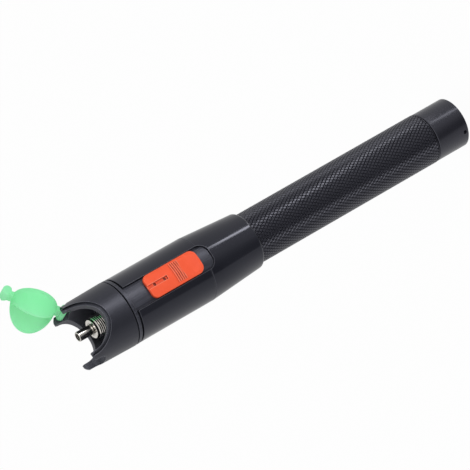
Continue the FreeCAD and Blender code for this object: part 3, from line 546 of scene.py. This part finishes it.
# Outer edges are painted paler: a painted highlight.
skin = add(tree, "ShaderNodeBsdfPrincipled", {
    "Base Color": edge_highlight(tree, dye), "Roughness": matt.outputs[0], "Normal": relief.outputs[0],
    "IOR": 1.54, "Specular Tint": (0.85, 0.86, 1.0, 1.0)})
add(tree, "ShaderNodeOutputMaterial", {"Surface": skin.outputs[0]})
hood = piece(rounded("nose_hood", radius=0.22, segments=3), "nose_hood_shell", "body", core_painted_paler)
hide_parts("nose_hood")


# ---- dust cap ------------------------------------------------------------------------------------
# Soft cap moulded in translucent green elastomer. It hangs on a bar between two prongs of the hood,
# and a second bar snaps between the opposite pair.
elastomer, tree = material("thermoplastic_elastomer_green")
# Styrene elastomer: milky green that light soaks through, so that its thin wall glows.
place = add(tree, "ShaderNodeTexCoord").outputs["Object"]
cloud = add(tree, "ShaderNodeTexNoise", {"Vector": place, "Scale": 180.0, "Detail": 3.0})
grain = add(tree, "ShaderNodeTexNoise", {"Vector": place, "Scale": 2200.0, "Detail": 2.0})
tint = add(tree, "ShaderNodeMix", {0: cloud.outputs[0], 6: tone("#92FCBA"), 7: tone("#A2FFC8")},
           data_type="RGBA")
relief = add(tree, "ShaderNodeBump", {
    "Strength": 0.15, "Distance": 0.00001, "Height": grain.outputs[0]})
skin = add(tree, "ShaderNodeBsdfPrincipled", {
    "Base Color": tint.outputs[2], "Roughness": 0.45, "Normal": relief.outputs[0], "IOR": 1.48})
pale = add(tree, "ShaderNodeMix", {0: 0.7, 6: tint.outputs[2], 7: tone("#EEFFF4")},
           data_type="RGBA")
through = add(tree, "ShaderNodeBsdfTranslucent", {"Color": pale.outputs[2]})
glow = 0.68
both = add(tree, "ShaderNodeMixShader", {0: glow, 1: skin.outputs[0], 2: through.outputs[0]})
add(tree, "ShaderNodeOutputMaterial", {"Surface": both.outputs[0]})
cap = piece(rounded("dust_cap", radius=0.15, segments=2), "dust_cap_moulding", "cap", elastomer)
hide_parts("dust_cap")


# ---- floor and light -----------------------------------------------------------------------------
# A plain white table, far enough below the pen for the tail cap to come out. The camera and the
# clear pieces see it as white but for a trace of the pen's soft shadow. Glossy sides don't see it:
# they see the painted reflection below instead.
table_z = -9.2
table_shape = bmesh.new()
bmesh.ops.create_grid(table_shape, x_segments=1, y_segments=1, size=6.0,
                      matrix=Matrix.Translation((0, 0, table_z * MM)))
table_mesh = bpy.data.meshes.new("table")
table_shape.to_mesh(table_mesh)
table_shape.free()
table = bpy.data.objects.new("table", table_mesh)
bpy.context.scene.collection.objects.link(table)
paper, tree = material("white_paper")
ray = add(tree, "ShaderNodeLightPath")
seen = add(tree, "ShaderNodeMath", {
    0: ray.outputs["Is Camera Ray"], 1: ray.outputs["Is Transmission Ray"]}, operation="MAXIMUM")
shaded = add(tree, "ShaderNodeBsdfDiffuse", {"Color": tone("#F2F2F2")})
white = add(tree, "ShaderNodeEmission", {"Color": tone("#FFFFFF"), "Strength": 1.0})
white_share = 0.96        # the rest is paper, which takes the pen's shadow
share = add(tree, "ShaderNodeMath", {0: seen.outputs[0], 1: white_share}, operation="MULTIPLY")
both = add(tree, "ShaderNodeMixShader", {
    0: share.outputs[0], 1: shaded.outputs[0], 2: white.outputs[0]})

# What the pen's glossy sides mirror: a painted reflection, shown to glossy rays alone: a fan of
# greys round the pen, darker on the switch side and paler behind, with one strip between them
# that is up to ten times as bright as white and paints the highlight lines. The fan opens from
# the foot of the flank that the strip lights, and it is laid out for the side that the camera
# looks from.
lit_flank = (1.7 * MM, -9.8 * MM, 0)
place = add(tree, "ShaderNodeTexCoord").outputs["Object"]
aim = add(tree, "ShaderNodeVectorMath", {0: place, 1: lit_flank}, operation="SUBTRACT")
axes = add(tree, "ShaderNodeSeparateXYZ", {0: aim.outputs[0]})
bearing = add(tree, "ShaderNodeMath", {0: axes.outputs["Y"], 1: axes.outputs["X"]},
              operation="ARCTAN2")
flat = add(tree, "ShaderNodeMapping", {"Vector": place, "Scale": (1, 1, 0)})
reach = add(tree, "ShaderNodeVectorMath", {0: flat.outputs[0]}, operation="LENGTH")
turn = add(tree, "ShaderNodeMapRange", {0: bearing.outputs[0], 1: -math.pi, 2: math.pi})
fan = add(tree, "ShaderNodeValToRGB", {0: turn.outputs[0]})
# Share of a full turn round the pen, from the -X side by way of -Y, and the fan's brightness there.
fan_stops = (
    (0.0, 0.60), (0.047, 0.50), (0.078, 0.42), (0.084, 0.10), (0.133, 0.10), (0.175, 0.20),
    (0.217, 0.40), (0.258, 0.54), (0.30, 0.62), (0.50, 0.66), (0.60, 0.70), (0.811, 0.62),
    (0.867, 0.74), (0.939, 0.74), (1.0, 0.60))
fan_ramp = fan.color_ramp.elements
for share_of_turn, level in fan_stops[1:-1]:
    fan_ramp.new(share_of_turn)
for stop, (share_of_turn, level) in zip(fan_ramp, fan_stops):
    stop.position = share_of_turn
    stop.color = (level, level, level, 1)
profile = add(tree, "ShaderNodeValToRGB", {0: reach.outputs["Value"]})
# At each distance in metres: half the strip's breadth in radians, its strength as a share of
# strip_peak, its bearing from the X axis towards the -Y side, and how much the whole fan gains.
# Each range of distance is what one length of the pen mirrors, each with its own painted highlight.
strip_peak = 10.0
strip_stops = (
    (0.0, 0.09, 0.52, 1.00, 0.05), (0.049, 0.09, 0.52, 1.00, 0.05),      # tail cap
    (0.059, 0.22, 0.34, 0.50, 0.12), (0.099, 0.22, 0.34, 0.50, 0.12),    # rear half of the knurl
    (0.164, 0.15, 0.90, 1.02, 0.10), (0.206, 0.13, 0.80, 1.03, 0.08),    # front half, rear housing
    (0.214, 0.05, 0.26, 1.0, 0.0), (0.269, 0.05, 0.26, 1.0, 0.0),        # front sleeve
    (0.309, 0.42, 0.74, 1.36, 0.05),                                     # channel floor
    (0.354, 0.21, 0.72, 1.13, 0.12), (1.0, 0.21, 0.72, 1.13, 0.12))      # hood
strip_ramp = profile.color_ramp.elements
for values in strip_stops[1:-1]:
    strip_ramp.new(values[0])
for stop, values in zip(strip_ramp, strip_stops):
    stop.position = values[0]
    stop.color = values[1:]
parts = add(tree, "ShaderNodeSeparateColor", {0: profile.outputs[0]})
aside = add(tree, "ShaderNodeMath", {0: bearing.outputs[0], 1: parts.outputs[2]}, operation="ADD")
apart = add(tree, "ShaderNodeMath", {0: aside.outputs[0]}, operation="ABSOLUTE")
strip = add(tree, "ShaderNodeMapRange", {
    0: apart.outputs[0], 1: 0.0, 2: parts.outputs[0], 3: strip_peak, 4: 0.0},
    interpolation_type="SMOOTHSTEP")
paler = add(tree, "ShaderNodeMath", {0: fan.outputs[0], 1: profile.outputs["Alpha"]},
            operation="ADD")
bright = add(tree, "ShaderNodeMath", {
    0: strip.outputs[0], 1: parts.outputs[1], 2: paler.outputs[0]}, operation="MULTIPLY_ADD")
# Painted reflection: emission that only glossy rays see.
painted_reflection = add(tree, "ShaderNodeEmission", {"Color": tone("#FFFFFF"), "Strength": bright.outputs[0]})
mirrored = add(tree, "ShaderNodeMixShader", {
    0: ray.outputs["Is Glossy Ray"], 1: both.outputs[0], 2: painted_reflection.outputs[0]})
add(tree, "ShaderNodeOutputMaterial", {"Surface": mirrored.outputs[0]})
table_mesh.materials.append(paper)

world = bpy.data.worlds.new("studio")
bpy.context.scene.world = world
world.use_nodes = True
sky = world.node_tree.nodes["Background"]
sky.inputs["Color"].default_value = tone("#FFFFFF")
# White where it is mirrored, and a little dimmer as light, since the two lamps add theirs.
ray = add(world.node_tree, "ShaderNodeLightPath")
level = add(world.node_tree, "ShaderNodeMapRange", {
    0: ray.outputs["Is Glossy Ray"], 3: 0.75, 4: 1.0})
world.node_tree.links.new(level.outputs[0], sky.inputs["Strength"])


def lamp(name, place, aim, width, height, watts):
    """Soft rectangular lamp that points at a place on the pen. The camera doesn't see it."""
    data = bpy.data.lights.new(name, "AREA")
    data.shape = "RECTANGLE"
    data.size = width
    data.size_y = height
    data.energy = watts
    made = bpy.data.objects.new(name, data)
    bpy.context.scene.collection.objects.link(made)
    made.location = place
    made.rotation_mode = "QUATERNION"
    made.rotation_quaternion = (Vector(aim) - made.location).to_track_quat("-Z", "Y")
    made.visible_camera = False
    return made


lamp("key", place=(0.1, -0.9, 0.35), aim=(0, 0, 0.1), width=0.35, height=0.5, watts=2.1)
fill = lamp("fill", place=(-0.3, -0.7, 0.02), aim=(0.02, 0, 0.18), width=0.3, height=0.3, watts=0.9)
fill.visible_glossy = False
